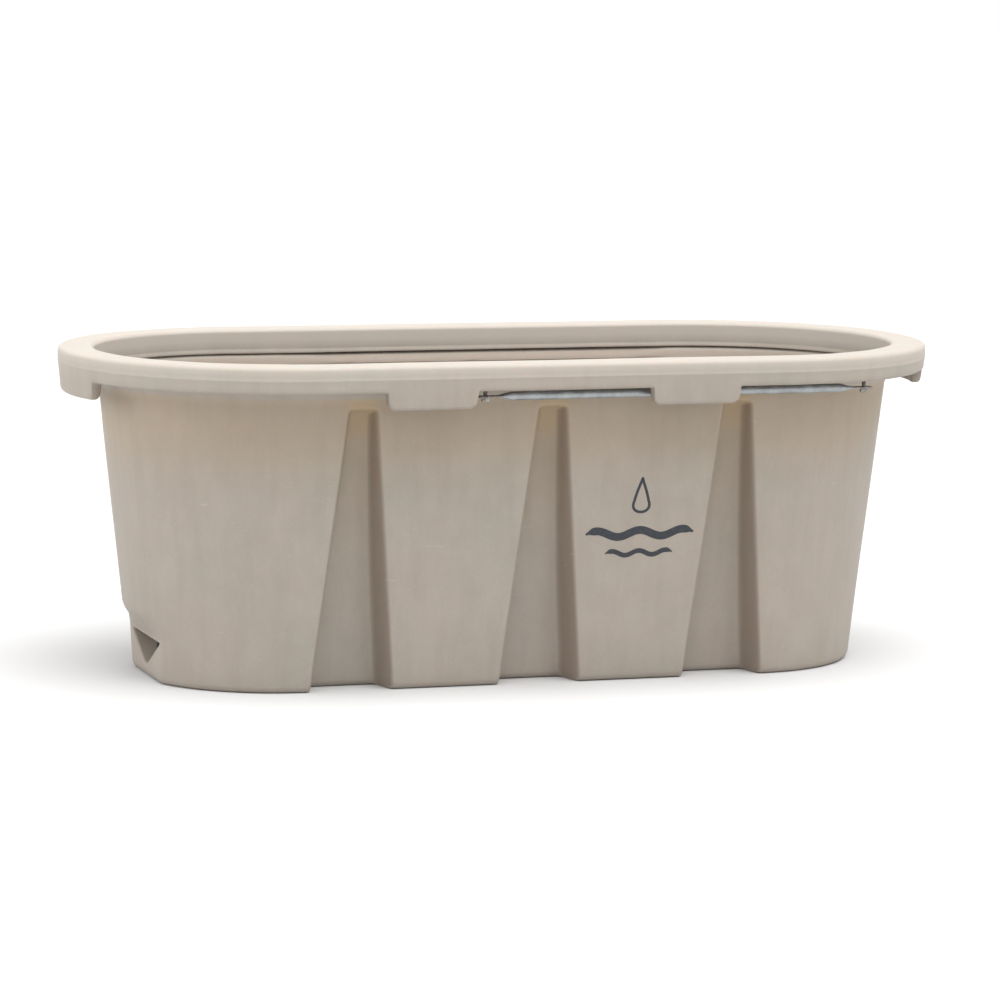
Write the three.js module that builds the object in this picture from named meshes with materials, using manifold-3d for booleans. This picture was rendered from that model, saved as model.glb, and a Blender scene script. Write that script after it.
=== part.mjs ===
// A livestock water trough: a round-ended stock tank moulded in one piece from polyethylene, with an
// overhanging hollow rim, stacking lugs, three channels pressed into each long side, and a drain
// pocket at the foot of one end. Two steel brace tubes are bolted up under the rim, one on each long
// side, and a threaded drain with a screw-in plug closes the pocket.
//
// Millimetres, +Z up. The origin is on the floor under the middle of the tank, +X runs along the
// tank, and the drain is at the -X end.

import * as THREE from 'three';
import Module from 'manifold-3d';
import { mergeVertices } from 'three/addons/utils/BufferGeometryUtils.js';

const wasm = await Module();
wasm.setup();

// ---------------------------------------------------------------- driving dimensions

const GAP = 0.3; // clearance between pieces that touch
const ARC_MIDDLE = 1 - Math.SQRT1_2; // how far the middle of a quarter round stands off its sides

// In plan every level is two half circles joined by straight sides. SPINE is half the distance
// between the centres of the half circles, and a radius is measured out from the line between them.
const SPINE = 443.5;
const HEIGHT = 610;
const WALL = 7;
const FLOOR = 8;

const WALL_FOOT_RADIUS = 261.4;
const WALL_SLOPE = 0.1123; // radius gained per millimetre of height
const WALL_LEVELS = [180, 350]; // heights where the wall's columns have a point between foot and head
const FOOT_ROUND = 10; // outer edge between the wall and the floor
const INNER_FOOT_ROUND = 20;

// Rim: an upside-down U that overhangs the wall outside and hangs clear of it inside.
const RIM_RADIUS = 397.5;
const RIM_BOTTOM = 560.6;
const RIM_INNER_RADIUS = 330.6;
const RIM_TOP_ROUND = 12;
const RIM_INNER_ROUND = 6;
const RIM_DRAFT = 3; // the outer face comes in this much from its widest level to its lower edge
const RIM_WIDEST = 590;
const RIM_FOOT_BEVEL = 5;
const LIP_BOTTOM = 562.5; // trimmed edge of the inner leg
const LIP_HEIGHT = 6;
const LIP_REACH = 2.6;
const LIP_BEVEL = 5.5; // the edge slopes up this much towards the hollow of the rim
const SHOULDER_ROUND = 34; // the wall flares into the underside of the rim

// Channels in the long sides: narrow and shallow at the head, wide and deep at the foot.
const CHANNEL_PITCH = 361.9;
const CHANNEL_HEAD_Z = 526;
const CHANNEL_CEILING_DROP = 8;
const CHANNEL_HEAD_WIDTH = 52.4;
const CHANNEL_FOOT_WIDTH = 156.6;
const CHANNEL_HEAD_DEPTH = 28;
const CHANNEL_FOOT_DEPTH = 58;
const CHANNEL_DRAFT = 15; // degrees that each flank leans
// Where the columns of a channel's corners run up the rim, each side of the channel's middle.
const RIM_MOUTH_HALF = 20;
const RIM_ROOT_HALF = 12;
const SHELF_TOP_Z = 541; // head of the rib that the channel makes inside the tank
const SHELF_DROP = 10;

// Stacking lugs under the rim: two on each long side and one on each end.
const LUG_CENTRE = 252.8;
const LUG_HALF_WIDTH = 84;
const LUG_DROP = 32;
const LUG_INNER_RADIUS = 371;
const LUG_LEAN = 2.5; // how far a lug's inner face leans out over its height
const END_LUG_HALF_ANGLE = 18.5;
// How far down a lug reaches, against how far in from its side.
const LUG_SIDE = [
  { inset: 0, drop: 0 },
  { inset: 3.5, drop: 0.75 },
  { inset: 12, drop: 1 },
];

// Drain: a flat on the foot of the -X end, a V-shaped pocket in it, and the fitting at its back.
const FLAT_X = 683;
const FLAT_REACH = 40; // degrees each side of the end's middle that the flat's plane is tried over
const FLAT_TOP = 82;
const FLAT_LEDGE = 45; // above the flat the wall slopes back out over this height
const LEDGE_RISE = 4; // the slope's inside lies this much higher than its outside
const POCKET_TOP = 75;
const POCKET_FOOT = 24;
const POCKET_HALF_WIDTH = 104;
const POCKET_TIP = [4, 10, 2.5]; // half width of the tip, of the blunt part over it, and that part's rise
const POCKET_BACK_X = 641;
const POCKET_DRAFT = 3;
const DRAIN_Z = 52;
const DRAIN_WALL = 18; // plastic behind the pocket, round the fitting
const BOSS_TOP = 85;
const BOSS_TOP_HALF = 117;
const BOSS_FOOT_HALF = 70;
const DRAIN_BORE = 13.5;
const DRAIN_BODY_RADIUS = 17;
const DRAIN_FLANGE_RADIUS = 19.5;
const DRAIN_FLANGE = 2;
const SEAL_THICKNESS = 2.5;
const PLUG_FLANGE_RADIUS = 18.5;
const PLUG_FLANGE = 3;
const PLUG_HEAD_FLATS = 27;
const PLUG_HEAD = 9.5;
const PLUG_THREAD_RADIUS = 13.1;
const PLUG_THREAD = 17.4;

// Brace tube, with flattened ends that are bolted up into inserts moulded in the rim.
const TUBE_RADIUS = 8;
const TUBE_WALL = 1.3;
const TUBE_AXIS_Z = 548;
const TUBE_NEAR_BOLT = new THREE.Vector2(-145, -360);
const TUBE_FAR_BOLT = new THREE.Vector2(604, -340);
const TUBE_TIP = 14; // past the bolt
const TUBE_FLAT = 22; // flattened length inside the bolt
const TUBE_TAPER = 30; // from flattened to round
const TUBE_FLAT_HALF_WIDTH = 11.8;
const TUBE_FLAT_HALF_THICKNESS = 1.7;
const TUBE_SLIT_HALF_THICKNESS = 0.4;
const BOLT_RADIUS = 4;
const BOLT_HEAD_FLATS = 13;
const BOLT_HEAD = 5.3;
const BOLT_TIP_Z = 575;
const WASHER_RADIUS = 8;
const WASHER = 1.6;
const INSERT_RADIUS = 9;
const INSERT_LENGTH = 18;
const INSERT_BOSS_RADIUS = 14;

const COLOURS = {
  polyethylene: { color: '#b3aa9c', roughness: 0.62, metalness: 0 },
  galvanised: { color: '#b4bab9', roughness: 0.38, metalness: 0.9 },
  zinc: { color: '#b9c0bb', roughness: 0.32, metalness: 0.9 },
  brass: { color: '#b08d4a', roughness: 0.35, metalness: 0.9 },
  rubber: { color: '#26282a', roughness: 0.8, metalness: 0 },
  plug: { color: '#3a3d3f', roughness: 0.55, metalness: 0 },
};

// ---------------------------------------------------------------- helpers

const lerp = THREE.MathUtils.lerp;
const radians = THREE.MathUtils.degToRad;

// A solid from a closed geometry, wound so that its faces point out.
function toSolid(geometry) {
  const bare = geometry.clone();
  bare.deleteAttribute('normal');
  bare.deleteAttribute('uv');
  const merged = mergeVertices(bare, 1e-3);
  const corner = (i) => new THREE.Vector3().fromBufferAttribute(merged.attributes.position, i);
  const index = merged.index.array;
  let volume = 0;
  let triVerts = [];
  for (let i = 0; i < index.length; i += 3) {
    const [a, b, c] = [index[i], index[i + 1], index[i + 2]];
    if (a !== b && b !== c && c !== a) triVerts.push(a, b, c);
    volume += corner(a).dot(corner(b).cross(corner(c)));
  }
  if (volume < 0) triVerts = triVerts.reverse();
  const vertProperties = new Float32Array(merged.attributes.position.array);
  const mesh = new wasm.Mesh({ numProp: 3, vertProperties, triVerts: new Uint32Array(triVerts) });
  return new wasm.Manifold(mesh);
}

function toGeometry(solid) {
  const mesh = solid.getMesh();
  const geometry = new THREE.BufferGeometry();
  geometry.setAttribute('position', new THREE.BufferAttribute(mesh.vertProperties, 3));
  geometry.setIndex(new THREE.BufferAttribute(mesh.triVerts, 1));
  geometry.computeVertexNormals();
  return geometry;
}

// Skin over a grid of points: rows[j][i] joins its neighbours along i, which closes on itself, and
// along j. The first and last rows are capped when they are flat rings.
function skin(rows, { capped }) {
  const count = rows[0].length;
  const positions = rows.flat().flatMap((p) => [p.x, p.y, p.z]);
  const index = [];
  for (let j = 0; j + 1 < rows.length; j += 1) {
    for (let i = 0; i < count; i += 1) {
      const next = (i + 1) % count;
      const [a, b] = [j * count + i, j * count + next];
      const [c, d] = [a + count, b + count];
      index.push(a, b, d, a, d, c);
    }
  }
  if (capped) {
    const last = (rows.length - 1) * count;
    for (let i = 1; i + 1 < count; i += 1) {
      index.push(0, i + 1, i, last, last + i, last + i + 1);
    }
  }
  const geometry = new THREE.BufferGeometry();
  geometry.setAttribute('position', new THREE.Float32BufferAttribute(positions, 3));
  geometry.setIndex(index);
  return geometry;
}

function cylinder(radius, z0, z1, x = 0, y = 0, sides = 24) {
  const geometry = new THREE.CylinderGeometry(radius, radius, z1 - z0, sides);
  geometry.rotateX(Math.PI / 2);
  geometry.translate(x, y, (z0 + z1) / 2);
  return geometry;
}

// A hexagonal prism between two heights, by its size across the flats.
function hexagon(flats, z0, z1) {
  return cylinder(flats / 2 / Math.cos(Math.PI / 6), z0, z1, 0, 0, 6);
}

// A ring or sleeve turned about Z from a closed outline of [radius, height] points.
function turned(outline, sides = 24) {
  const points = [...outline, outline[0]].map(([r, z]) => new THREE.Vector2(r, z));
  return new THREE.LatheGeometry(points, sides).rotateX(Math.PI / 2);
}

// Turns a shape built along +Z so that +Z points out of the tank at the drain, along -X, and its
// base plane lies at the given distance from the middle of the tank.
function alongDrain(geometry, baseX) {
  return geometry.rotateY(-Math.PI / 2).translate(-baseX, 0, DRAIN_Z);
}

// ---------------------------------------------------------------- tank shell

const wallRadius = (z) => WALL_FOOT_RADIUS + WALL_SLOPE * z;
const channelFloorTop = CHANNEL_HEAD_Z - CHANNEL_CEILING_DROP;
const shelfFloorTop = SHELF_TOP_Z - SHELF_DROP;

function channelDepth(z, top) {
  if (z > top) return 0;
  const up = Math.min(z / channelFloorTop, 1);
  return lerp(CHANNEL_FOOT_DEPTH, CHANNEL_HEAD_DEPTH, up * up);
}

// Columns run up the wall, round the rim and down the inside. On a long side a column's place along
// the tank shifts with height, so that the channel corners stay on a column.
function sideColumns() {
  const columns = [{ foot: -SPINE, head: -SPINE, rim: -SPINE }];
  const footFlank = CHANNEL_FOOT_DEPTH * Math.tan(radians(CHANNEL_DRAFT));
  const headFlank = CHANNEL_HEAD_DEPTH * Math.tan(radians(CHANNEL_DRAFT));
  const footHalf = CHANNEL_FOOT_WIDTH / 2;
  const headHalf = CHANNEL_HEAD_WIDTH / 2;
  const addChannel = (centre) => {
    columns.push(
      { foot: centre - footHalf, head: centre - headHalf, rim: centre - RIM_MOUTH_HALF, corner: -1 },
      { foot: centre - footHalf + footFlank, head: centre - headHalf + headFlank,
        rim: centre - RIM_ROOT_HALF, corner: -1, deep: true },
      { foot: centre + footHalf - footFlank, head: centre + headHalf - headFlank,
        rim: centre + RIM_ROOT_HALF, corner: 1, deep: true },
      { foot: centre + footHalf, head: centre + headHalf, rim: centre + RIM_MOUTH_HALF, corner: 1 },
    );
  };
  const addLug = (centre) => {
    const across = [];
    for (const { inset, drop } of LUG_SIDE) across.push({ at: -LUG_HALF_WIDTH + inset, drop });
    for (const { inset, drop } of [...LUG_SIDE].reverse()) {
      across.push({ at: LUG_HALF_WIDTH - inset, drop });
    }
    const panelCentre = Math.sign(centre) * CHANNEL_PITCH / 2;
    for (const { at, drop } of across) {
      columns.push({ foot: panelCentre + at, head: panelCentre + at * 1.5, rim: centre + at, drop });
    }
  };
  addChannel(-CHANNEL_PITCH);
  addLug(-LUG_CENTRE);
  addChannel(0);
  addLug(LUG_CENTRE);
  addChannel(CHANNEL_PITCH);
  return columns;
}

// Angles across a round end, from one side to the other, with columns at the lug's corners.
function endColumns() {
  const lug = LUG_SIDE.map(({ inset, drop }) => {
    const angle = END_LUG_HALF_ANGLE - THREE.MathUtils.radToDeg(inset / RIM_RADIUS);
    return { angle, drop };
  });
  const half = [
    { angle: 0, drop: 1 }, { angle: 8, drop: 1 }, ...lug.reverse(),
    ...[22, 25.5, 29, 36, 45, 54, 63, 72, 81].map((angle) => ({ angle, drop: 0 })),
  ];
  const mirrored = half.slice(1).reverse().map(({ angle, drop }) => ({ angle: -angle, drop }));
  return [{ angle: -90, drop: 0 }, ...mirrored, ...half];
}

const spread = WALL * Math.tan(radians((90 - CHANNEL_DRAFT) / 2));

// One column's points, from the middle of the underside, out and up the wall, round the rim and its
// lug, and back down the inside to the middle of the floor. place(radius, z, zone) sets each point.
function section(place, { drop, deep, flat }) {
  const points = [];
  const add = (radius, z, zone) => points.push(place(radius, z, zone));
  const outerDepth = (z) => (deep ? channelDepth(z, channelFloorTop) : 0);
  const innerDepth = (z) => (deep ? channelDepth(z, shelfFloorTop) : 0);
  const outer = (z, inset = 0) => {
    const radius = wallRadius(z) - outerDepth(z) - inset;
    add(z > FLAT_TOP ? radius : Math.min(radius, flat - inset), z, 'outer');
  };
  const inner = (z, inset = 0) => {
    const radius = wallRadius(z) - WALL - innerDepth(z) - inset;
    const clipped = z > FLAT_TOP + FLAT_LEDGE ? radius : Math.min(radius, flat - FLOOR - inset);
    add(clipped, z, 'inner');
  };

  add(0, 0, 'outer');
  outer(0, FOOT_ROUND);
  outer(FOOT_ROUND * ARC_MIDDLE, FOOT_ROUND * ARC_MIDDLE);
  outer(FOOT_ROUND);
  for (const z of [FLAT_TOP, FLAT_TOP + FLAT_LEDGE, ...WALL_LEVELS, channelFloorTop, CHANNEL_HEAD_Z]) {
    outer(z);
  }

  const shoulderZ = RIM_BOTTOM - SHOULDER_ROUND;
  const shoulderRadius = wallRadius(shoulderZ) + SHOULDER_ROUND;
  for (const turn of [30, 60, 90].map(radians)) {
    add(shoulderRadius - SHOULDER_ROUND * Math.cos(turn), shoulderZ + SHOULDER_ROUND * Math.sin(turn));
  }
  const lowered = LUG_DROP * drop;
  const lowEdge = RIM_BOTTOM - lowered;
  const bottomRadius = RIM_RADIUS - RIM_DRAFT * (1 + drop);
  add(LUG_INNER_RADIUS, RIM_BOTTOM);
  add(LUG_INNER_RADIUS + LUG_LEAN, lowEdge);
  add(bottomRadius - RIM_FOOT_BEVEL, lowEdge);
  add(bottomRadius, lowEdge + RIM_FOOT_BEVEL);
  add(RIM_RADIUS, RIM_WIDEST);
  add(RIM_RADIUS, HEIGHT - RIM_TOP_ROUND);
  add(RIM_RADIUS - RIM_TOP_ROUND * ARC_MIDDLE, HEIGHT - RIM_TOP_ROUND * ARC_MIDDLE);
  add(RIM_RADIUS - RIM_TOP_ROUND, HEIGHT);
  add(RIM_INNER_RADIUS + RIM_INNER_ROUND, HEIGHT);
  add(RIM_INNER_RADIUS, HEIGHT - RIM_INNER_ROUND);
  const lipTop = LIP_BOTTOM + LIP_HEIGHT;
  const lipRadius = RIM_INNER_RADIUS - LIP_REACH;
  add(RIM_INNER_RADIUS, lipTop + LIP_REACH);
  add(lipRadius, lipTop - LIP_REACH);
  add(lipRadius, LIP_BOTTOM);
  add(RIM_INNER_RADIUS + WALL, LIP_BOTTOM + LIP_BEVEL);
  add(RIM_INNER_RADIUS + WALL, HEIGHT - WALL);
  add(RIM_RADIUS - WALL, HEIGHT - WALL);
  add(RIM_RADIUS - WALL - RIM_DRAFT, RIM_BOTTOM + WALL);
  for (const turn of [90, 65, 45, 22].map(radians)) {
    const round = SHOULDER_ROUND + WALL;
    add(shoulderRadius - round * Math.cos(turn), shoulderZ + round * Math.sin(turn));
  }

  const innerLedge = [FLAT_TOP + FLAT_LEDGE + LEDGE_RISE, FLAT_TOP + LEDGE_RISE];
  for (const z of [shelfFloorTop, ...WALL_LEVELS.toReversed(), ...innerLedge]) inner(z);
  inner(FLOOR + INNER_FOOT_ROUND);
  inner(FLOOR + INNER_FOOT_ROUND * ARC_MIDDLE, INNER_FOOT_ROUND * ARC_MIDDLE);
  inner(FLOOR, INNER_FOOT_ROUND);
  add(0, FLOOR, 'floor');
  return points;
}

function shellColumns() {
  const columns = [];
  const addSide = (direction) => {
    for (const { foot, head, rim, corner = 0, deep = false, drop = 0 } of sideColumns()) {
      const place = (radius, z, zone) => {
        let x = rim;
        if (zone) x = lerp(foot, head, Math.min(z / CHANNEL_HEAD_Z, 1));
        if (zone === 'inner') x += spread * corner;
        if (zone === 'floor') x = foot;
        return new THREE.Vector3(direction * x, -direction * radius, z);
      };
      columns.push(section(place, { drop, deep, flat: Infinity }));
    }
  };
  const addEnd = (direction) => {
    for (const { angle, drop } of endColumns()) {
      const turn = radians(angle);
      const cutFlat = direction < 0 && Math.abs(angle) < FLAT_REACH;
      const flat = cutFlat ? (FLAT_X - SPINE) / Math.cos(turn) : Infinity;
      const place = (radius, z) => new THREE.Vector3(
        direction * (SPINE + radius * Math.cos(turn)), direction * radius * Math.sin(turn), z,
      );
      columns.push(section(place, { drop, deep: false, flat }));
    }
  };
  addSide(1);
  addEnd(1);
  addSide(-1);
  addEnd(-1);
  return columns;
}

// A straight-sided solid between two flat outlines in planes across X.
function prismAlongX(fromX, fromOutline, toX, toOutline) {
  const ring = (x, outline) => outline.map(([y, z]) => new THREE.Vector3(x, y, z));
  return skin([ring(fromX, fromOutline), ring(toX, toOutline)], { capped: true });
}

function drainPocket(grow) {
  const half = POCKET_HALF_WIDTH + grow;
  const top = POCKET_TOP + grow;
  const foot = POCKET_FOOT - grow;
  const [tip, blunt, rise] = POCKET_TIP;
  return [[-half, top], [-blunt, foot + rise], [-tip, foot], [tip, foot], [blunt, foot + rise], [half, top]];
}

function brace(turned180) {
  const sign = turned180 ? -1 : 1;
  return {
    near: TUBE_NEAR_BOLT.clone().multiplyScalar(sign),
    far: TUBE_FAR_BOLT.clone().multiplyScalar(sign),
  };
}

function tankShell() {
  const columns = shellColumns();
  const rows = columns[0].map((_, j) => columns.map((column) => column[j]));
  let shell = toSolid(skin(rows, { capped: false }));

  const boss = [
    [-BOSS_TOP_HALF, BOSS_TOP], [-BOSS_FOOT_HALF, FLOOR / 2],
    [BOSS_FOOT_HALF, FLOOR / 2], [BOSS_TOP_HALF, BOSS_TOP],
  ];
  const bossX = POCKET_BACK_X - DRAIN_WALL;
  shell = shell.add(toSolid(prismAlongX(-bossX, boss, -FLAT_X + FLOOR / 2, boss)));
  const mouth = drainPocket(0);
  const back = drainPocket(-POCKET_DRAFT);
  shell = shell.subtract(toSolid(prismAlongX(-POCKET_BACK_X, back, -FLAT_X - 1, mouth)));
  const bore = cylinder(DRAIN_BODY_RADIUS + GAP, -30, 30);
  shell = shell.subtract(toSolid(alongDrain(bore, POCKET_BACK_X)));

  for (const { near, far } of [brace(false), brace(true)]) {
    for (const bolt of [near, far]) {
      const bossTop = RIM_BOTTOM + INSERT_LENGTH + WALL;
      shell = shell.add(toSolid(cylinder(INSERT_BOSS_RADIUS, RIM_BOTTOM + 2, bossTop, bolt.x, bolt.y, 16)));
      const holeTop = RIM_BOTTOM + INSERT_LENGTH + GAP;
      shell = shell.subtract(
        toSolid(cylinder(INSERT_RADIUS + GAP, RIM_BOTTOM - 10, holeTop, bolt.x, bolt.y, 16)),
      );
    }
  }
  return toGeometry(shell);
}

// ---------------------------------------------------------------- brace tubes and their fixings

// A round tube pressed flat at both ends, lying from the near bolt to the far bolt. Its section is a
// ring of points, and the flattened lengths keep a thin slit open between their two layers.
function braceTube({ near, far }) {
  const along = far.clone().sub(near).normalize();
  const across = new THREE.Vector2(-along.y, along.x);
  const length = near.distanceTo(far);
  const flatStart = -TUBE_TIP;
  const stations = [
    [flatStart, 1], [TUBE_FLAT, 1], [TUBE_FLAT + TUBE_TAPER / 2, 0.4], [TUBE_FLAT + TUBE_TAPER, 0],
    [length - TUBE_FLAT - TUBE_TAPER, 0], [length - TUBE_FLAT - TUBE_TAPER / 2, 0.4],
    [length - TUBE_FLAT, 1], [length + TUBE_TIP, 1],
  ];
  const ring = ([distance, flattened], inset, halfThickness) => {
    const width = lerp(TUBE_RADIUS, TUBE_FLAT_HALF_WIDTH, flattened) - inset;
    const thickness = lerp(TUBE_RADIUS - inset, halfThickness, flattened);
    const sides = 12;
    return Array.from({ length: sides }, (_, i) => {
      const turn = (2 * Math.PI * i) / sides;
      const middle = near.clone().addScaledVector(along, distance);
      middle.addScaledVector(across, -width * Math.cos(turn));
      return new THREE.Vector3(middle.x, middle.y, TUBE_AXIS_Z + thickness * Math.sin(turn));
    });
  };
  const outside = stations.map((station) => ring(station, 0, TUBE_FLAT_HALF_THICKNESS));
  const inside = stations.map((station) => ring(station, TUBE_WALL, TUBE_SLIT_HALF_THICKNESS));
  const rows = [...outside, ...inside.reverse(), outside[0]];
  let tube = toSolid(skin(rows, { capped: false }));
  for (const bolt of [near, far]) {
    const hole = cylinder(BOLT_RADIUS + GAP + 0.2, TUBE_AXIS_Z - 10, TUBE_AXIS_Z + 10, bolt.x, bolt.y, 16);
    tube = tube.subtract(toSolid(hole));
  }
  return toGeometry(tube);
}

const flatUnderside = TUBE_AXIS_Z - TUBE_FLAT_HALF_THICKNESS;
const washerTop = flatUnderside - GAP;
const headTop = washerTop - WASHER - GAP;

function braceBolt() {
  const head = toSolid(hexagon(BOLT_HEAD_FLATS, headTop - BOLT_HEAD, headTop));
  const shank = toSolid(cylinder(BOLT_RADIUS, headTop - 1, BOLT_TIP_Z, 0, 0, 12));
  return toGeometry(head.add(shank));
}

function washer() {
  const hole = BOLT_RADIUS + GAP + 0.1;
  const bottom = washerTop - WASHER;
  return turned([[hole, bottom], [WASHER_RADIUS, bottom], [WASHER_RADIUS, washerTop], [hole, washerTop]], 16);
}

function rimInsert() {
  const hole = BOLT_RADIUS + GAP;
  const top = RIM_BOTTOM + INSERT_LENGTH;
  const outline = [[hole, RIM_BOTTOM], [INSERT_RADIUS, RIM_BOTTOM], [INSERT_RADIUS, top], [hole, top]];
  return turned(outline, 16);
}

// ---------------------------------------------------------------- drain

// Each drain piece is built up +Z from the face that it bears on, then turned to point out of the tank.
function drainFitting() {
  const inside = -(DRAIN_WALL + 2);
  const outline = [
    [DRAIN_BORE, inside], [DRAIN_BODY_RADIUS, inside], [DRAIN_BODY_RADIUS, GAP],
    [DRAIN_FLANGE_RADIUS, GAP], [DRAIN_FLANGE_RADIUS, GAP + DRAIN_FLANGE], [DRAIN_BORE, GAP + DRAIN_FLANGE],
  ];
  return alongDrain(turned(outline), POCKET_BACK_X);
}

const sealFace = POCKET_BACK_X + DRAIN_FLANGE + 2 * GAP;
const plugFace = sealFace + SEAL_THICKNESS + GAP;

function drainSeal() {
  const half = SEAL_THICKNESS / 2;
  const hole = PLUG_THREAD_RADIUS + GAP;
  const outer = hole + 4;
  const outline = [
    [hole, half], [hole + 1, 0], [outer - 1, 0], [outer, half],
    [outer - 1, SEAL_THICKNESS], [hole + 1, SEAL_THICKNESS],
  ];
  return alongDrain(turned(outline), sealFace);
}

function drainPlug() {
  const thread = toSolid(cylinder(PLUG_THREAD_RADIUS, -PLUG_THREAD, 1));
  const flange = toSolid(cylinder(PLUG_FLANGE_RADIUS, 0, PLUG_FLANGE));
  const head = toSolid(hexagon(PLUG_HEAD_FLATS, PLUG_FLANGE - 1, PLUG_FLANGE + PLUG_HEAD));
  return alongDrain(toGeometry(thread.add(flange).add(head)), plugFace);
}

// ---------------------------------------------------------------- assembly

const trough = new THREE.Group();

function addPiece(name, geometry, look, parent = trough) {
  const mesh = new THREE.Mesh(geometry, new THREE.MeshStandardMaterial(COLOURS[look]));
  mesh.name = name;
  parent.add(mesh);
  return mesh;
}

addPiece('tank_shell', tankShell(), 'polyethylene');

for (const [side, turned180] of [['front', false], ['rear', true]]) {
  const place = brace(turned180);
  addPiece(`${side}_brace_tube`, braceTube(place), 'galvanised');
  for (const [end, bolt] of [['near', place.near], ['far', place.far]]) {
    const fixing = new THREE.Group();
    fixing.position.set(bolt.x, bolt.y, 0);
    trough.add(fixing);
    addPiece(`${side}_${end}_brace_bolt`, braceBolt(), 'zinc', fixing);
    addPiece(`${side}_${end}_washer`, washer(), 'zinc', fixing);
    addPiece(`${side}_${end}_rim_insert`, rimInsert(), 'brass', fixing);
  }
}

addPiece('drain_fitting', drainFitting(), 'brass');
addPiece('drain_seal', drainSeal(), 'rubber');
addPiece('drain_plug', drainPlug(), 'plug');

export default trough;
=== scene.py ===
import math

import bmesh
import bpy
from mathutils import Matrix, Vector, noise


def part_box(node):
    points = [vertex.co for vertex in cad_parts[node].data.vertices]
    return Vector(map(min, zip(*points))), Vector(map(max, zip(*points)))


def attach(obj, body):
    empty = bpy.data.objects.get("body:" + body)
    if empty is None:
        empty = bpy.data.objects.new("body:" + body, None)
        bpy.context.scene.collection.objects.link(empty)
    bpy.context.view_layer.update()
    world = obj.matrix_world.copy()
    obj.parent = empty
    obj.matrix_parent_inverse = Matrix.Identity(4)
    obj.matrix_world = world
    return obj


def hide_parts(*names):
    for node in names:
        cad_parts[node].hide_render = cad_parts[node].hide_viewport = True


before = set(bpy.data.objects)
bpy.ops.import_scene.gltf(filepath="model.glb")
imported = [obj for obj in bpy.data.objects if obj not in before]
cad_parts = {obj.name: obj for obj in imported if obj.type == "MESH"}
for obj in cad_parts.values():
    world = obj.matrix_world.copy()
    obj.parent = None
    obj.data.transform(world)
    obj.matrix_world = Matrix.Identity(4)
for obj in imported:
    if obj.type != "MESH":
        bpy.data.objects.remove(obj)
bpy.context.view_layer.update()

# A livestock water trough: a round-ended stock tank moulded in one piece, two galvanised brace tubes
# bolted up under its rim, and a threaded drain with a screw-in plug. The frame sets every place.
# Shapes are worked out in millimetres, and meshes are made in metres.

MM = 0.001

# ---------------------------------------------------------------- driving dimensions, from the frame


def corners(node):
    """A CAD node's lowest and highest corners, in millimetres."""
    low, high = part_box(node)
    return low / MM, high / MM


SHELL_HIGH = corners("tank_shell")[1]
HEIGHT = SHELL_HIGH.z
RIM_RADIUS = SHELL_HIGH.y
SPINE = SHELL_HIGH.x - RIM_RADIUS  # from the middle of the tank to the centre of each round end

# ---------------------------------------------------------------- the moulding's own sizes

WALL = 7
FLOOR = 8
FOOT_RADIUS = 261.4
WALL_SLOPE = 0.1123
FOOT_ROUND = 13
INNER_FOOT_ROUND = 22

RIM_BOTTOM = 560.6
RIM_WIDEST = 590
RIM_DRAFT = 3
PARTING_LINE_Z = 585  # where the mould's two halves met, a thin bead round the rim
RIM_INNER_RADIUS = 330.6
LIP_BOTTOM = 562.5
LIP_REACH = 2.6
LIP_HEIGHT = 6
SHOULDER_ROUND = 34
SHOULDER_DIP = 5  # how far the shoulder sags away from the lip along the middle of a long side
SHOULDER_DIP_FROM = -270
SHOULDER_DIP_TO = 400

CHANNEL_PITCH = 361.9
CHANNEL_HEAD_Z = 526
CHANNEL_TOP_Z = 518
CHANNEL_HEAD_HALF = 26.2
CHANNEL_FOOT_HALF = 78.3
CHANNEL_HEAD_DEPTH = 28
CHANNEL_FOOT_DEPTH = 58
CHANNEL_LEAN = math.tan(math.radians(15))
RIB_TOP_Z = 531
SHELF_ROOT_Z = 541
RIB_SPREAD = WALL * math.tan(math.radians(37.5))

LUG_CENTRE = 252.8
LUG_HALF_WIDTH = 84
LUG_DROP = 32
LUG_INNER_RADIUS = 371
END_LUG_HALF = math.radians(18.5) * RIM_RADIUS  # along the rim

FLAT_X = 683
FLAT_TOP = 82
FLAT_LEDGE = 45
LEDGE_RISE = 4
POCKET_TOP = 75
POCKET_FOOT = 24
POCKET_HALF_WIDTH = 104
DRAIN_WALL = 18

FITTING_LOW, FITTING_HIGH = corners("drain_fitting")
SEAL_LOW, SEAL_HIGH = corners("drain_seal")
PLUG_LOW, PLUG_HIGH = corners("drain_plug")
DRAIN_Z = (FITTING_LOW.z + FITTING_HIGH.z) / 2
POCKET_BACK_X = -FITTING_HIGH.x + 2 + DRAIN_WALL

BODY_RADIUS = 17
FITTING_BORE = 13.5
FLANGE = 2
FLANGE_FACE_X = 646.4
PLUG_FLANGE = 3
PLUG_THREAD_RADIUS = 13.1
INSERT_RADIUS = 9
CLEARANCE = 0.3
BOLT_RADIUS = 4
BOLT_PITCH = 1.25
BOLT_HEAD_FLATS = 13
BOLT_HEAD = 5.3
PLUG_PITCH = 25.4 / 14
PLUG_HEAD_FLATS = 27

TUBE_TIP = 14
TUBE_FLAT = 22
TUBE_TAPER = 30
TUBE_RADIUS = 8
TUBE_WALL = 1.3
TUBE_FLAT_HALF_WIDTH = 11.8
TUBE_FLAT_HALF_THICKNESS = 1.7
TUBE_SLIT = 0.35

# ---------------------------------------------------------------- helpers for shapes


def lerp(a, b, t):
    return a + (b - a) * t


def smooth(t):
    t = min(max(t, 0.0), 1.0)
    return t * t * (3 - 2 * t)


def bump_between(value, start, end, ramp):
    """1 between start and end, falling smoothly to 0 over ramp outside them."""
    return smooth((value - start) / ramp + 1) * smooth((end - value) / ramp + 1)


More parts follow.
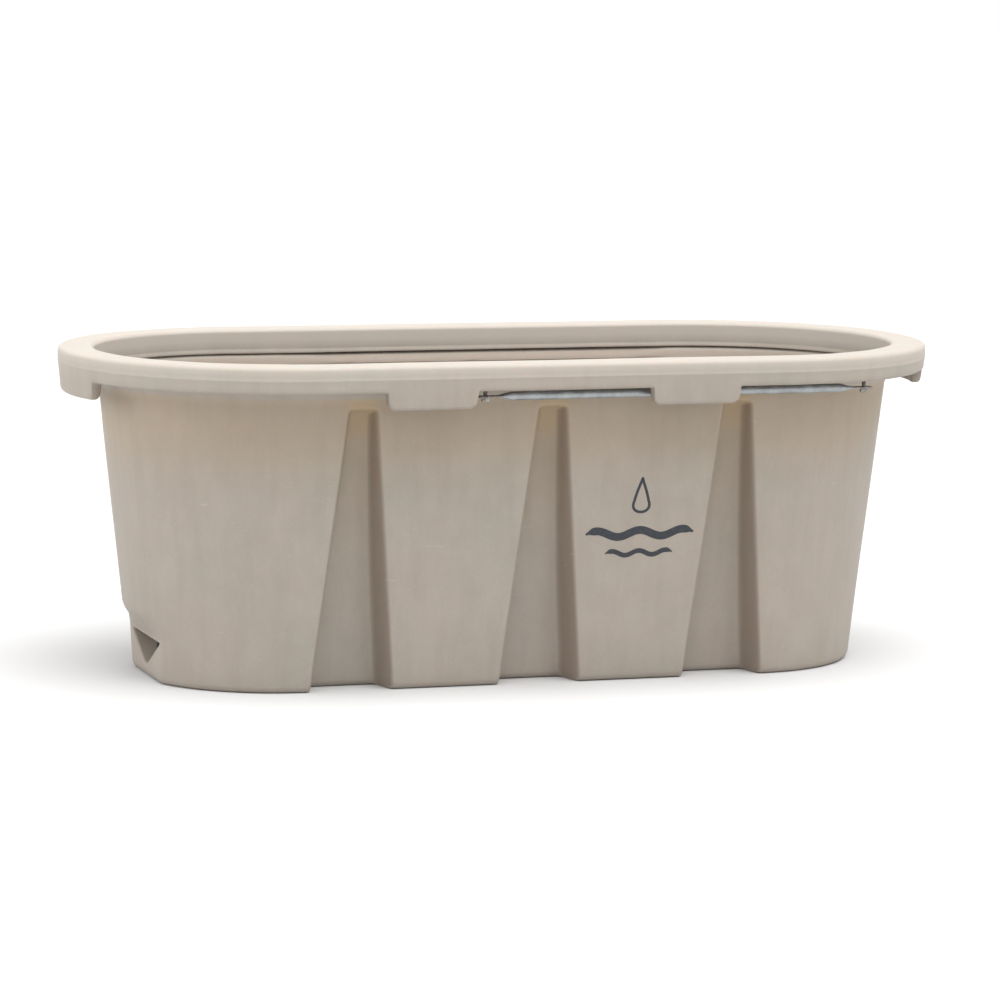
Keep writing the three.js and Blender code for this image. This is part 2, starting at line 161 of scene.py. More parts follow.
def soft_min(a, b, blend):
    """The smaller of two values, with a round of the given size where they cross."""
    h = max(blend - abs(a - b), 0) / blend
    return min(a, b) - h * h * blend / 4


def fillet(before, corner, after, reach, steps):
    """Points round a corner: an arc that leaves each side `reach` from the corner, or less on a
    short side."""
    a, b, c = Vector(before), Vector(corner), Vector(after)
    to_a, to_c = a - b, c - b
    reach = min(reach, 0.46 * to_a.length, 0.46 * to_c.length)
    if reach < 1e-6:
        return [b.copy() for _ in range(steps + 1)]
    to_a.normalize()
    to_c.normalize()
    start, end = b + to_a * reach, b + to_c * reach
    weight = math.sqrt(max((1 - to_a.dot(to_c)) / 2, 0))
    points = []
    for i in range(steps + 1):
        t = i / steps
        wa, wb, wc = (1 - t) ** 2, 2 * weight * t * (1 - t), t * t
        points.append((start * wa + b * wb + end * wc) / (wa + wb + wc))
    return points


def rounded_path(knots):
    """A path through knots of (point, reach, steps). A knot with no reach is one point, and a knot
    with one is an arc. The first and last knots stay as they are."""
    path = []
    for i, (point, reach, steps) in enumerate(knots):
        if reach and 0 < i < len(knots) - 1:
            path += fillet(knots[i - 1][0], point, knots[i + 1][0], reach, steps)
        else:
            path.append(Vector(point))
    return path


def mesh_object(name, points, faces, smooth_angle=40):
    """An object from points in millimetres, with its faces turned outwards."""
    mesh = bpy.data.meshes.new(name)
    mesh.from_pydata([Vector(p) * MM for p in points], [], faces)
    bm = bmesh.new()
    bm.from_mesh(mesh)
    bmesh.ops.remove_doubles(bm, verts=bm.verts, dist=1e-6)
    bmesh.ops.dissolve_degenerate(bm, edges=bm.edges, dist=1e-6)
    bmesh.ops.recalc_face_normals(bm, faces=bm.faces)
    bm.to_mesh(mesh)
    bm.free()
    mesh.shade_smooth()
    mesh.set_sharp_from_angle(angle=math.radians(smooth_angle))
    piece = bpy.data.objects.new(name, mesh)
    bpy.context.scene.collection.objects.link(piece)
    return piece


def grid(rows, capped):
    """Points and faces of a skin over rings of points, each joined to the next. Open ends are
    closed with one face when capped."""
    count = len(rows[0])
    points = [p for row in rows for p in row]
    faces = []
    for j in range(len(rows) - 1):
        for i in range(count):
            k = (i + 1) % count
            faces.append((j * count + i, j * count + k, (j + 1) * count + k, (j + 1) * count + i))
    if capped:
        faces.append(tuple(reversed(range(count))))
        faces.append(tuple(range((len(rows) - 1) * count, len(rows) * count)))
    return points, faces


def ring(radius_at, z, sides):
    turns = [2 * math.pi * i / sides for i in range(sides)]
    return [Vector((radius_at(t) * math.cos(t), radius_at(t) * math.sin(t), z)) for t in turns]


def circle(radius, z, sides):
    return ring(lambda turn: radius, z, sides)


def turned(name, outline, sides=64, smooth_angle=40):
    """A ring or sleeve turned about Z from a closed outline of (radius, z)."""
    rows = [circle(r, z, sides) for r, z in [*outline, outline[0]]]
    points, faces = grid(rows, capped=False)
    return mesh_object(name, points, faces, smooth_angle)


def combine(base, tool, operation):
    """Joins or cuts base with tool, which is used up."""
    modifier = base.modifiers.new("combine", "BOOLEAN")
    modifier.operation = operation
    modifier.solver = "EXACT"
    modifier.object = tool
    bpy.context.view_layer.update()
    evaluated = base.evaluated_get(bpy.context.evaluated_depsgraph_get())
    mesh = bpy.data.meshes.new_from_object(evaluated)
    base.modifiers.clear()
    base.data = mesh
    bpy.data.objects.remove(tool)


def cylinder(name, radius, z0, z1, sides=48):
    return mesh_object(name, *grid([circle(radius, z, sides) for z in (z0, z1)], capped=True))


def facing_drain(piece, base_x):
    """Turns a piece built along +Z to point out of the tank at the drain, along -X."""
    turn = Matrix.Rotation(-math.pi / 2, 4, "Y")
    piece.data.transform(Matrix.Translation(Vector((base_x, 0, DRAIN_Z)) * MM) @ turn)
    piece.data.update()
    return piece


# ---------------------------------------------------------------- tank shell: one column's section


def wall_radius(z):
    return FOOT_RADIUS + WALL_SLOPE * z


def channel_depth(z):
    up = min(z / CHANNEL_TOP_Z, 1)
    return lerp(CHANNEL_FOOT_DEPTH, CHANNEL_HEAD_DEPTH, up * up)


MOUTH_STEPS, FLANK_POINTS, ROOT_STEPS, MIDDLE_POINTS = 4, 2, 4, 2


def channel_half(z, inside):
    """One half of a channel's section across the tank at height z, as (across, depth) from the
    wall to the middle. Inside the tank the same channel is a rib, a wall's thickness wider."""
    half = lerp(CHANNEL_FOOT_HALF, CHANNEL_HEAD_HALF, min(z / CHANNEL_HEAD_Z, 1))
    half += RIB_SPREAD if inside else 0
    depth = channel_depth(z)
    lean = depth * CHANNEL_LEAN
    mouth_reach, root_reach = (6, 11) if inside else (6.5, 9)
    land, mouth, root, middle = (half + 40, 0), (half, 0), (half - lean, depth), (0, depth)
    points = fillet(land, mouth, root, mouth_reach, MOUTH_STEPS)
    bend = fillet(mouth, root, middle, root_reach, ROOT_STEPS)
    start, end = points[-1], bend[0]
    points += [start.lerp(end, (i + 1) / (FLANK_POINTS + 1)) for i in range(FLANK_POINTS)]
    points += bend
    start = bend[-1]
    points += [start.lerp(Vector(middle), (i + 1) / (MIDDLE_POINTS + 1)) for i in range(MIDDLE_POINTS)]
    points.append(Vector(middle))
    return points


CHANNEL_POINTS = MOUTH_STEPS + 1 + FLANK_POINTS + ROOT_STEPS + 1 + MIDDLE_POINTS + 1

OUTER_LEVELS = (30, 50, 66, 76)
WALL_LEVELS = (160, 200, 255, 310, 365, 415, 455, 485, 505)
INNER_LEVELS = (512, 490, 460, 420, 370, 315, 260, 205, 165)


def section(place, drop, flat, dip, lip_shift):
    """One column from the middle of the underside, up the outside, round the rim and its lug, and
    down the inside. place(radius, z, zone) sets each point."""
    path = []

    def outer_radius(z):
        return soft_min(wall_radius(z), flat, 5) if z <= FLAT_TOP else wall_radius(z)

    def add(knots, zone):
        for p in rounded_path(knots)[1:-1]:
            path.append(place(p[0], p[1], zone))

    def level(radius, z):
        return ((radius, z), 0, 0)

    path.append(place(0, 0, "underside"))
    foot = outer_radius(0)
    path.append(place(foot * 0.5, 0, "underside"))
    path.append(place(foot * 0.86, 0, "underside"))
    lower = [level(outer_radius(z), z) for z in OUTER_LEVELS]
    ledge_top = FLAT_TOP + FLAT_LEDGE
    mid_ledge = (outer_radius(FLAT_TOP) + wall_radius(ledge_top)) / 2
    add([
        level(foot * 0.86, 0), ((foot, 0), FOOT_ROUND, 5), *lower,
        ((outer_radius(FLAT_TOP), FLAT_TOP), 6, 4), level(mid_ledge, FLAT_TOP + FLAT_LEDGE / 2),
        ((wall_radius(ledge_top), ledge_top), 16, 5),
        *[level(wall_radius(z), z) for z in WALL_LEVELS],
        level(wall_radius(CHANNEL_TOP_Z), CHANNEL_TOP_Z),
    ], "outer")

    shoulder_z = RIM_BOTTOM - SHOULDER_ROUND
    shoulder_r = wall_radius(shoulder_z) + SHOULDER_ROUND
    shoulder = []
    for degrees in (12, 25, 38, 51, 64, 77, 90):
        turn = math.radians(degrees)
        r = shoulder_r - SHOULDER_ROUND * math.cos(turn)
        z = shoulder_z + SHOULDER_ROUND * math.sin(turn)
        shoulder.append(place(r, z, "shoulder", degrees / 90))
    ceiling_root = place(wall_radius(CHANNEL_TOP_Z), CHANNEL_TOP_Z, "outer")
    ceiling_edge = place(wall_radius(CHANNEL_HEAD_Z), CHANNEL_HEAD_Z, "head")
    path += fillet(path[-1], ceiling_root, ceiling_edge, 12, 5)
    path += fillet(ceiling_root, ceiling_edge, shoulder[0], 9, 3)
    path += shoulder

    low = RIM_BOTTOM - LUG_DROP * drop
    bottom_r = RIM_RADIUS - RIM_DRAFT * (1 + drop)
    bead_r = lerp(bottom_r, RIM_RADIUS, (PARTING_LINE_Z - low) / (RIM_WIDEST - low))
    lip_top = LIP_BOTTOM + LIP_HEIGHT + lip_shift
    lip_r = RIM_INNER_RADIUS - LIP_REACH
    lip_bottom = LIP_BOTTOM + lip_shift
    back_r = RIM_INNER_RADIUS + WALL
    add([
        level(shoulder_r, RIM_BOTTOM),
        ((LUG_INNER_RADIUS, RIM_BOTTOM), 5, 3), ((LUG_INNER_RADIUS + 2.5, low), 4, 3),
        ((bottom_r, low), 6.5, 5),
        level(lerp(bottom_r, bead_r, 0.5), lerp(low, PARTING_LINE_Z, 0.5)),
        level(bead_r - 0.1, PARTING_LINE_Z - 1.8), level(bead_r + 0.5, PARTING_LINE_Z - 0.7),
        level(bead_r + 0.5, PARTING_LINE_Z + 0.7), level(bead_r, PARTING_LINE_Z + 1.9),
        level(RIM_RADIUS, RIM_WIDEST + 2),
        ((RIM_RADIUS, HEIGHT), 13, 7),
        level(lerp(RIM_RADIUS, RIM_INNER_RADIUS, 0.35), HEIGHT + 0.5),
        level(lerp(RIM_RADIUS, RIM_INNER_RADIUS, 0.65), HEIGHT + 0.3),
        ((RIM_INNER_RADIUS, HEIGHT), 7.5, 5),
        level(RIM_INNER_RADIUS + 0.6, 588),
        ((RIM_INNER_RADIUS, lip_top + LIP_REACH), 1.5, 2), ((lip_r, lip_top - LIP_REACH), 1.5, 2),
        ((lip_r, lip_bottom), 1.1, 3), ((back_r, lip_bottom + 5.5), 3, 3),
        level(back_r, PARTING_LINE_Z),
        ((back_r, HEIGHT - WALL), 5, 3),
        level(lerp(RIM_INNER_RADIUS, RIM_RADIUS, 0.5), HEIGHT - WALL),
        ((RIM_RADIUS - WALL, HEIGHT - WALL), 6, 3),
        ((RIM_RADIUS - WALL - RIM_DRAFT, RIM_BOTTOM + WALL), 6, 3),
        level(shoulder_r, RIM_BOTTOM + WALL),
    ], "rim")
    inner_round = SHOULDER_ROUND + WALL
    for degrees in (90, 80, 70, 60, 50, 41, 32, 25):
        turn = math.radians(degrees)
        sag = dip * SHOULDER_DIP * math.sin(2 * turn) ** 2
        r = shoulder_r - (inner_round + sag) * math.cos(turn)
        z = shoulder_z + (inner_round - sag) * math.sin(turn)
        path.append(place(r, z, "shoulder", (degrees - 25) / 65))

    shelf_root = place(wall_radius(SHELF_ROOT_Z) - WALL, SHELF_ROOT_Z, "head")
    shelf_edge = place(wall_radius(RIB_TOP_Z) - WALL, RIB_TOP_Z, "inner")
    below = place(wall_radius(INNER_LEVELS[0]) - WALL, INNER_LEVELS[0], "inner")
    path += fillet(path[-1], shelf_root, shelf_edge, 6, 3)
    path += fillet(shelf_root, shelf_edge, below, 9, 5)
    inner_ledge = FLAT_TOP + LEDGE_RISE
    inner_top = ledge_top + LEDGE_RISE
    inner_flat = flat - FLOOR
    inner_low = [soft_min(wall_radius(z) - WALL, inner_flat, 6) for z in (inner_ledge, 60, 40, FLOOR)]
    add([
        level(wall_radius(RIB_TOP_Z) - WALL, RIB_TOP_Z),
        *[level(wall_radius(z) - WALL, z) for z in INNER_LEVELS],
        ((wall_radius(inner_top) - WALL, inner_top), 12, 4), ((inner_low[0], inner_ledge), 8, 4),
        level(inner_low[1], 60), level(inner_low[2], 40),
        ((inner_low[3], FLOOR), INNER_FOOT_ROUND, 6), level(inner_low[3] * 0.86, FLOOR),
    ], "inner")
    path.append(place(inner_low[3] * 0.86, FLOOR, "floor"))
    path.append(place(inner_low[3] * 0.45, FLOOR, "floor"))
    path.append(place(0, FLOOR, "floor"))
    return path


# ---------------------------------------------------------------- tank shell: columns in plan


def lug_side(half_width):
    """One side of a lug, seen from the front, as (distance from its middle, drop from 0 to 1)."""
    top, edge, foot = half_width + 7, half_width, half_width - 3
    knots = [
        ((top + 8, 0), 0, 0), ((edge + 1, 0), 5, 3), ((foot + 1, -LUG_DROP), 13, 7),
        ((foot - 30, -LUG_DROP), 0, 0),
    ]
    return [(p[0], -p[1] / LUG_DROP) for p in rounded_path(knots)[1:-1]]


END_FOOT_X = SPINE + 7  # the last channel's mouth is rounded just past the end of the straight side


def pinched(x, share):
    """A column's place along the tank on the floor or underside. Past the straight side it closes
    up on the centre of the round end."""
    beyond = max(abs(x) - SPINE, 0)
    return x - math.copysign(beyond * (1 - share), x)


def side_columns():
    """Columns along a long side: ("wall", foot, head, rim, drop) or ("channel", centre, index)."""
    columns = []
    side = lug_side(LUG_HALF_WIDTH)
    across = [(-at, drop) for at, drop in side]
    across += [(at, 1.0) for at in (-50, -25, 0, 25, 50)]
    across += [(at, drop) for at, drop in reversed(side)]

    def add_channel(centre):
        columns.extend(("channel", centre, -1, i) for i in range(CHANNEL_POINTS))
        columns.extend(("channel", centre, 1, i) for i in reversed(range(CHANNEL_POINTS - 1)))

    def add_lug(centre):
        panel = math.copysign(CHANNEL_PITCH / 2, centre)
        foot_half = CHANNEL_PITCH / 2 - CHANNEL_FOOT_HALF - 12
        head_half = CHANNEL_PITCH / 2 - CHANNEL_HEAD_HALF - 12
        reach = across[-1][0]
        for n, (at, drop) in enumerate(across):
            even = lerp(-1, 1, n / (len(across) - 1))
            spot = lerp(at / reach, even, 0.6)
            columns.append(("wall", panel + spot * foot_half, panel + spot * head_half, centre + at, drop))

    columns.append(("wall", -END_FOOT_X, -SPINE, -SPINE, 0))
    add_channel(-CHANNEL_PITCH)
    add_lug(-LUG_CENTRE)
    add_channel(0)
    add_lug(LUG_CENTRE)
    add_channel(CHANNEL_PITCH)
    columns.append(("wall", END_FOOT_X, SPINE, SPINE, 0))
    return columns


def end_columns():
    """(angle, drop) of the columns across a round end, in radians."""
    half = [(math.radians(a), 1.0) for a in (0, 2.5, 5, 7.5, 10, 12)]
    half += [(at / RIM_RADIUS, drop) for at, drop in reversed(lug_side(END_LUG_HALF))]
    half += [(math.radians(a), 0.0) for a in (21.6, 22.6, 23.6, 24.6, 25.6, 26.6, 27.6, 28.6, 29.8)]
    half += [(math.radians(31.5 + 3.25 * i), 0.0) for i in range(18)]
    return [(-a, d) for a, d in reversed(half[1:])] + half


RIM_CHANNEL_HALF = 15  # the columns of a channel close up to this at the rim, clear of the lugs


def side_column(column, direction):
    kind = column[0]
    middle_x = column[1] if kind == "channel" else column[3]
    from_drain = direction * middle_x
    dip = bump_between(from_drain, SHOULDER_DIP_FROM, SHOULDER_DIP_TO, 120)
    lip_shift = lip_wobble(from_drain, direction)

    def point(x, radius, z):
        return Vector((direction * x, -direction * radius, z))

    if kind == "wall":
        _, foot, head, rim, drop = column

        def place(radius, z, zone, out=1.0):
            if zone in ("rim", "shoulder"):
                return point(lerp(head, rim, out), radius, z)
            if zone in ("underside", "floor"):
                return point(pinched(foot, radius / FOOT_RADIUS), radius, z)
            return point(lerp(foot, head, min(z / CHANNEL_HEAD_Z, 1)), radius, z)

        return section(place, drop, 1e6, dip, lip_shift)

    _, centre, sign, index = column
    head_at = channel_half(CHANNEL_HEAD_Z, False)[index]
    head_edge = channel_half(CHANNEL_HEAD_Z, False)[0][0]
    rim_x = centre + sign * head_at[0] / head_edge * RIM_CHANNEL_HALF

    def place(radius, z, zone, out=1.0):
        if zone == "head":
            return point(centre + sign * head_at[0], radius, z)
        if zone in ("rim", "shoulder"):
            return point(lerp(centre + sign * head_at[0], rim_x, out), radius, z)
        across, depth = channel_half(max(z, 0), zone in ("inner", "floor"))[index]
        if zone in ("underside", "floor"):
            share = radius / FOOT_RADIUS
            return point(pinched(centre + sign * across, share), radius - depth * share, z)
        return point(centre + sign * across, radius - depth, z)

    return section(place, 0, 1e6, dip, lip_shift)


def end_column(angle, drop, direction):
    flat = 1e6
    if direction < 0 and abs(angle) < math.radians(40):
        flat = (FLAT_X - SPINE) / math.cos(angle)
    lip_shift = lip_wobble(direction * (SPINE + 200), direction)

    def place(radius, z, zone, out=1.0):
        x = direction * (SPINE + radius * math.cos(angle))
        return Vector((x, direction * radius * math.sin(angle), z))

    return section(place, drop, flat, 0, lip_shift)


def lip_wobble(x, direction):
    """The lip is trimmed by hand, so its edge rises and falls a little."""
    return 1.1 * noise.noise(Vector((x / 210, direction * 3.1, 0.7)))


def v_outline(grow):
    """The drain pocket's outline across the tank, as (y, z), with rounded corners. It grows more
    sideways than upwards because its sides lie at a low slope."""
    half, top, foot = POCKET_HALF_WIDTH + 2.2 * grow, POCKET_TOP + grow, POCKET_FOOT - grow
    return rounded_path([
        ((0, top), 0, 0), ((-half, top), 8, 4), ((-8, foot), 7, 4), ((8, foot), 7, 4),
        ((half, top), 8, 4), ((0, top), 0, 0),
    ])[:-1]


def drain_pocket_tool():
    """The space of the drain pocket, from outside the tank to its back, with a rounded mouth that
    meets the flat at a low angle."""
    mouth_round, back_round = 5.0, 6.0
    stations = [(-FLAT_X - 8, 1.8 * mouth_round), (-FLAT_X - 0.25 * mouth_round, 1.8 * mouth_round)]
    for degrees in (75, 60, 40, 20, 0):
        turn = math.radians(degrees)
        stations.append((-FLAT_X + mouth_round * (1 - math.sin(turn)), mouth_round * (1 - math.cos(turn))))
    for degrees in (0, 20, 40, 60, 78, 90):
        turn = math.radians(degrees)
        x = -POCKET_BACK_X - back_round * (1 - math.sin(turn))
        stations.append((x, -2 - back_round * (1 - math.cos(turn))))
    rows = [[Vector((x, y, z)) for y, z in v_outline(grow)] for x, grow in stations]
    return mesh_object("pocket_tool", *grid(rows, capped=True))


def boss_tool():
    """The block of plastic behind the drain pocket, inside the tank."""
    rows = []
    face_x = -POCKET_BACK_X + DRAIN_WALL
    for x, grow in ((-FLAT_X + 3, 6), (face_x - 7, 0), (face_x - 2.5, -1.8), (face_x, -6)):
        knots = [
            ((0, FLOOR / 2), 0, 0), ((-70 - grow, FLOOR / 2), 0, 0), ((-117 - grow, 85 + grow), 12, 5),
            ((117 + grow, 85 + grow), 12, 5), ((70 + grow, FLOOR / 2), 0, 0),
        ]
        rows.append([Vector((x, y, z)) for y, z in rounded_path(knots)])
    return mesh_object("boss_tool", *grid(rows, capped=True))


def bolt_places():
    """(x, y) of each brace bolt, by the name of the tube's side and end."""
    places = {}
    for side in ("front", "rear"):
        for end in ("near", "far"):
            low, high = corners(f"{side}_{end}_brace_bolt")
            places[side, end] = (low + high) / 2
    return places


def wave(point):
    """How far the moulded skin stands off its true shape: it cooled a little unevenly."""
    broad = noise.noise(point * MM * 5.5)
    fine = noise.noise(point * MM * 19 + Vector((3, 7, 1)))
    return 0.9 * broad + 0.22 * fine


def stillness(point, fixings):
    """1 over most of the shell, falling to 0 on the underside and where other pieces bear on it."""
    calm = smooth(point.z / 12)
    calm *= smooth(((point - Vector((-POCKET_BACK_X, 0, DRAIN_Z))).length - 55) / 60)
    for place in fixings:
        calm *= smooth(((point - Vector((place.x, place.y, RIM_BOTTOM))).length - 16) / 25)
    return calm


def moulded_shell():
    """The whole moulding, in one piece: the swept skin, then the drain's block, pocket and bore, and
    the bosses that hold the threaded inserts."""
    columns = []
    for direction in (1, -1):
        columns += [side_column(column, direction) for column in side_columns()]
        columns += [end_column(angle, drop, direction) for angle, drop in end_columns()]
    rows = [[column[j] for column in columns] for j in range(len(columns[0]))]
    shell = mesh_object("moulded_tank", *grid(rows, capped=False))
    combine(shell, boss_tool(), "UNION")
    combine(shell, drain_pocket_tool(), "DIFFERENCE")
    bore = cylinder("bore_tool", BODY_RADIUS + CLEARANCE, -30, 30, 64)
    combine(shell, facing_drain(bore, -POCKET_BACK_X), "DIFFERENCE")
    fixings = list(bolt_places().values())
    for place in fixings:
        boss = cylinder("insert_boss_tool", INSERT_RADIUS + 5, RIM_BOTTOM + 2, RIM_BOTTOM + 25)
        hole = cylinder("insert_hole_tool", INSERT_RADIUS + CLEARANCE, RIM_BOTTOM - 10, RIM_BOTTOM + 18.3)
        for tool, operation in ((boss, "UNION"), (hole, "DIFFERENCE")):
            tool.data.transform(Matrix.Translation(Vector((place.x, place.y, 0)) * MM))
            combine(shell, tool, operation)
    mesh = shell.data
    mesh.shade_smooth()
    points = [vertex.co / MM for vertex in mesh.vertices]
    normals = [vertex.normal.copy() for vertex in mesh.vertices]
    moved = []
    for point, normal in zip(points, normals):
        moved.extend((point + normal * wave(point) * stillness(point, fixings)) * MM)
    mesh.vertices.foreach_set("co", moved)
    mesh.update()
    mesh.set_sharp_from_angle(angle=math.radians(38))
    # Colour attributes that paint light and shade into the plastic: a painted glow under the rim, painted
    # light on the rim, and painted shade inside below the lip and on the channels' flanks.
    for name, amount in (("painted_glow", painted_glow_amount), ("pale", painted_rim_light), ("painted_shade", painted_shade)):
        layer = mesh.attributes.new(name, "FLOAT", "POINT")
        layer.data.foreach_set("value", [amount(point, normal) for point, normal in zip(points, normals)])
    return shell


def from_middle(point):
    """Distance from the line between the centres of the two round ends."""
    return math.hypot(max(abs(point.x) - SPINE, 0), point.y)


def painted_rim_light(point, normal):
    """How much painted light and sheen the rim gets, to make it paler than the wall: most on its top and
    its inner face. It's the same whichever way the surface faces."""
    if from_middle(point) > wall_radius(point.z) + 4:
        return smooth((point.z - 556) / 85)
    return smooth((point.z - RIM_BOTTOM - 6) / 10)


def painted_shade(point, normal):
    """How much painted shade the plastic gets, a dull brown: inside just below the rim, and on the
    channels' flanks, more on those that face the drain end."""
    beyond_x = point.x - max(-SPINE, min(SPINE, point.x))
    faces_in = normal.x * beyond_x + normal.y * point.y < 0
    if faces_in:
        return smooth((point.z - 430) / 90) * smooth((LIP_BOTTOM - 2 - point.z) / 8)
    on_long_side = from_middle(point) < wall_radius(point.z) + 2 and abs(point.x) < SPINE
    if not on_long_side or point.z >= RIM_BOTTOM or abs(normal.z) > 0.4:
        return 0.0
    faces_drain_end = normal.x < 0
    return smooth((abs(normal.x) - 0.3) / 0.4) * (1.0 if faces_drain_end else 0.4)


def painted_glow_amount(point, normal):
    """How much painted glow the outside gets, standing in for light through the plastic under the rim: most
    at the channel heads, less under the rim beside them, and a little over the upper wall."""
    nearest = CHANNEL_PITCH * max(-1, min(1, round(point.x / CHANNEL_PITCH)))
    across = abs(point.x - nearest)
    on_end = abs(point.x) > SPINE
    faces_out = normal.y * point.y > 0 or on_end and normal.x * point.x > 0
    out = from_middle(point) - wall_radius(point.z)
    if not faces_out or out > 4 or point.z > RIM_BOTTOM:
        return 0.0
    upper = 0.36 * smooth((point.z - 370) / 120)
    if on_end:
        return upper
    head = 0.75 * bump_between(point.z, 500, 540, 90) * smooth((46 - across) / 28)
    band = 0.5 * bump_between(point.z, 528, 556, 30) * smooth((110 - across) / 60)
    channel = 0.3 * smooth((point.z - 180) / 300) * smooth((-4 - out) / 12)
    return max(head, band, upper, channel)


# ---------------------------------------------------------------- brace tubes and their fixings


def stadium(half_width, half_thickness, flattened, sides):
    """A closed section that goes from a circle to a flat-sided oval."""
    points = []
    power = lerp(1.0, 0.42, flattened)
    for i in range(sides):
        turn = 2 * math.pi * i / sides
        c, v = math.cos(turn), math.sin(turn)
        points.append((half_width * c, half_thickness * math.copysign(abs(v) ** power, v)))
    return points


def brace_tube(name, near, far):
    """A round tube pressed flat at both ends, with its two layers not quite closed on each other."""
    sides = 32
    along = Vector((far.x - near.x, far.y - near.y, 0))
    length = along.length
    along.normalize()
    across = Vector((-along.y, along.x, 0))
    tube_z = corners(name)[0].z + TUBE_RADIUS
    start = Vector((near.x, near.y, tube_z))
    shares = [0, 0.12, 0.25, 0.4, 0.55, 0.7, 0.82, 0.92, 1]
    press = [(-TUBE_TIP, 1), (-TUBE_TIP + 1, 1), (-6, 1), (6, 1)]
    press += [(TUBE_FLAT + TUBE_TAPER * t, 1 - smooth(t)) for t in shares]
    middle = [(lerp(press[-1][0], length - press[-1][0], t), 0) for t in (0.15, 0.35, 0.5, 0.65, 0.85)]
    stations = press + middle + [(length - at, flat) for at, flat in reversed(press)]

    def section_ring(distance, flattened, inset, thickness, trim):
        half_width = lerp(TUBE_RADIUS, TUBE_FLAT_HALF_WIDTH, flattened) - inset - trim
        half_thickness = lerp(TUBE_RADIUS - inset, thickness, flattened)
        centre = start + along * distance
        ends = stadium(half_width, half_thickness, flattened, sides)
        return [centre + across * w + Vector((0, 0, h)) for w, h in ends]

    outside, inside = [], []
    for i, (distance, flattened) in enumerate(stations):
        trim = 2.2 if i in (0, len(stations) - 1) else 0
        outside.append(section_ring(distance, flattened, 0, TUBE_FLAT_HALF_THICKNESS, trim))
        inside.append(section_ring(distance, flattened, TUBE_WALL, TUBE_SLIT, trim))
    points, faces = grid([*outside, *reversed(inside), outside[0]], capped=False)
    piece = mesh_object(side_piece(name), points, faces, 50)
    for place in (near, far):
        hole = cylinder("bolt_hole_tool", BOLT_RADIUS + 0.5, tube_z - 10, tube_z + 10, 32)
        hole.data.transform(Matrix.Translation(Vector((place.x, place.y, 0)) * MM))
        combine(piece, hole, "DIFFERENCE")
    piece.data.shade_smooth()
    piece.data.set_sharp_from_angle(angle=math.radians(50))
    return piece


def side_piece(node):
    """The name of the finished piece that stands for a CAD node."""
    return "finished_" + node


def hexagon_radius(flats, turn):
    """Distance from the middle to the side of a hexagon in one direction."""
    sixth = math.pi / 3
    return flats / 2 / math.cos((turn + sixth / 2) % sixth - sixth / 2)


def hexagon_rings(flats, bearing_z, end_z, sides=72):
    """Rings of a hexagon head from its bearing face to its chamfered end."""
    direction = math.copysign(1, end_z - bearing_z)
    rings = []
    corner = flats / math.sqrt(3)
    drop = (corner - flats / 2 * 0.93) * math.tan(math.radians(30))
    for back in (abs(end_z - bearing_z), abs(end_z - bearing_z) - 0.3, drop, drop * 0.75, drop * 0.5,
                 drop * 0.25, 0):
        limit = flats / 2 * 0.93 + back / math.tan(math.radians(30))
        if back == abs(end_z - bearing_z):
            limit = flats / 2 * 0.97
        z = end_z - direction * back
        rings.append(ring(lambda t, m=limit: min(hexagon_radius(flats, t), m), z, sides))
    return rings


def thread_rings(major, pitch, z0, z1, sides=72, steps=6):
    """Rings of a right-hand thread between two heights, fading out at both ends."""
    depth = 0.58 * pitch
    count = max(int(abs(z1 - z0) / pitch * steps), 2)
    rings = []
    for n in range(count + 1):
        z = lerp(z0, z1, n / count)
        fade = smooth(min(abs(z - z0), abs(z - z1)) / (pitch * 0.8))

        def radius(turn, z=z, fade=fade):
            phase = (z / pitch - turn / (2 * math.pi)) % 1
            crest = min(max(abs(2 * phase - 1) * 1.25 - 0.1, 0), 1)
            return major - depth * (1 - crest * fade)

        rings.append(ring(radius, z, sides))
    return rings


def brace_bolt(node):
    """A hexagon-head bolt, head down, with its thread running up to its tip."""
    low, high = corners(node)
    head_top = low.z + BOLT_HEAD
    sides = 48
    rings = list(reversed(hexagon_rings(BOLT_HEAD_FLATS, head_top, low.z, sides)))
    rings.append(circle(BOLT_RADIUS + 0.4, head_top, sides))
    rings.append(circle(BOLT_RADIUS, head_top + 0.4, sides))
    rings += thread_rings(BOLT_RADIUS, BOLT_PITCH, head_top + 1, high.z - 0.8, sides)
    rings.append(circle(BOLT_RADIUS - 1.3, high.z, sides))
    dish = [circle(radius, low.z + depth, sides) for radius, depth in ((3.8, 0.25), (4.4, 0))]
    piece = mesh_object(side_piece(node), *grid(dish + rings, capped=True), 32)
    return move_to(piece, (low + high) / 2)


def move_to(piece, place):
    piece.data.transform(Matrix.Translation(Vector((place.x, place.y, 0)) * MM))
    return piece


def washer(node):
    low, high = corners(node)
    outer, hole = (high.x - low.x) / 2, BOLT_RADIUS + 0.4
    outline = [
        (hole, low.z + 0.2), (hole + 0.2, low.z), (outer - 0.5, low.z), (outer - 0.15, low.z + 0.15),
        (outer, low.z + 0.5), (outer, high.z - 0.2), (outer - 0.2, high.z), (hole + 0.2, high.z),
        (hole, high.z - 0.2),
    ]
    return move_to(turned(side_piece(node), outline, 48), (low + high) / 2)


def rim_insert(node):
    """A brass sleeve with a chamfered mouth and a groove round the middle that keys it in."""
    low, high = corners(node)
    outer, hole = (high.x - low.x) / 2, BOLT_RADIUS + 0.3
    middle = (low.z + high.z) / 2
    outline = [
        (hole, low.z + 0.9), (hole + 0.9, low.z), (outer - 0.4, low.z), (outer, low.z + 0.4),
        (outer, middle - 2.5), (outer - 0.8, middle - 2), (outer - 0.8, middle + 2), (outer, middle + 2.5),
        (outer, high.z - 0.4), (outer - 0.4, high.z), (hole, high.z),
    ]
    return move_to(turned(side_piece(node), outline, 48), (low + high) / 2)


# ---------------------------------------------------------------- drain


